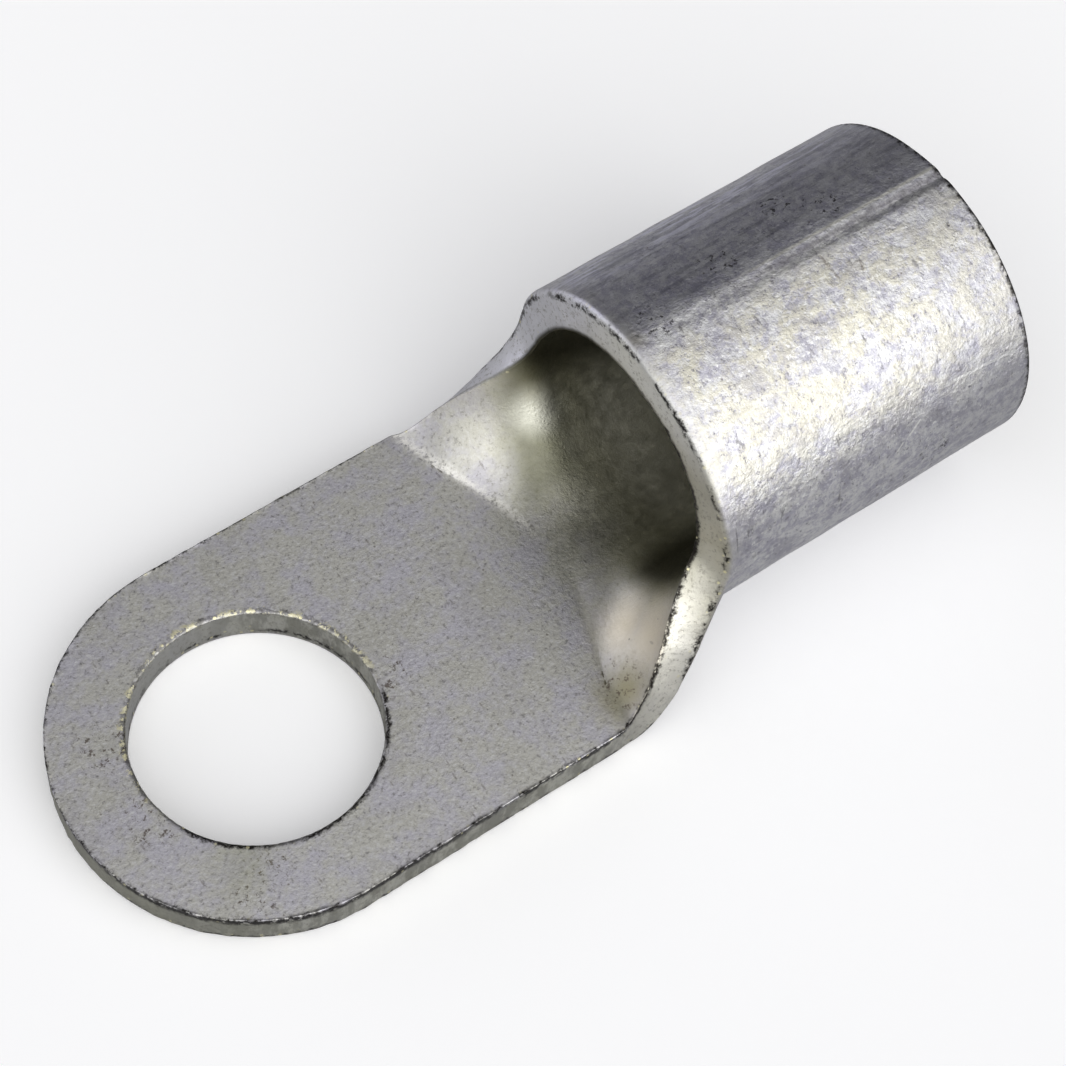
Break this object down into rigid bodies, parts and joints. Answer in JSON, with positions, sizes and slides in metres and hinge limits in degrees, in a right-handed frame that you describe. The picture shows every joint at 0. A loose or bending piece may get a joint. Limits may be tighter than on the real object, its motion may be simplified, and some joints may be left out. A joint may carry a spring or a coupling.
{
  "type": "ring terminal",
  "caption": "Non-insulated ring terminal of tinned copper sheet: a flat ring tongue that curls up into an open, round crimp barrel with a brazed seam.",
  "frame": {"origin": "centre of the stud hole on the tongue's underside", "axes": "+X from the ring towards the barrel's wire entry, +Z away from the surface that the tongue is bolted to, +Y across the tongue"},
  "size_m": [0.0421, 0.0172, 0.0146],
  "materials": {
    "tinned_copper": "satin"
  },
  "bodies": {
    "root": {"terminal_body": "tinned_copper"}
  },
  "joints": []
}
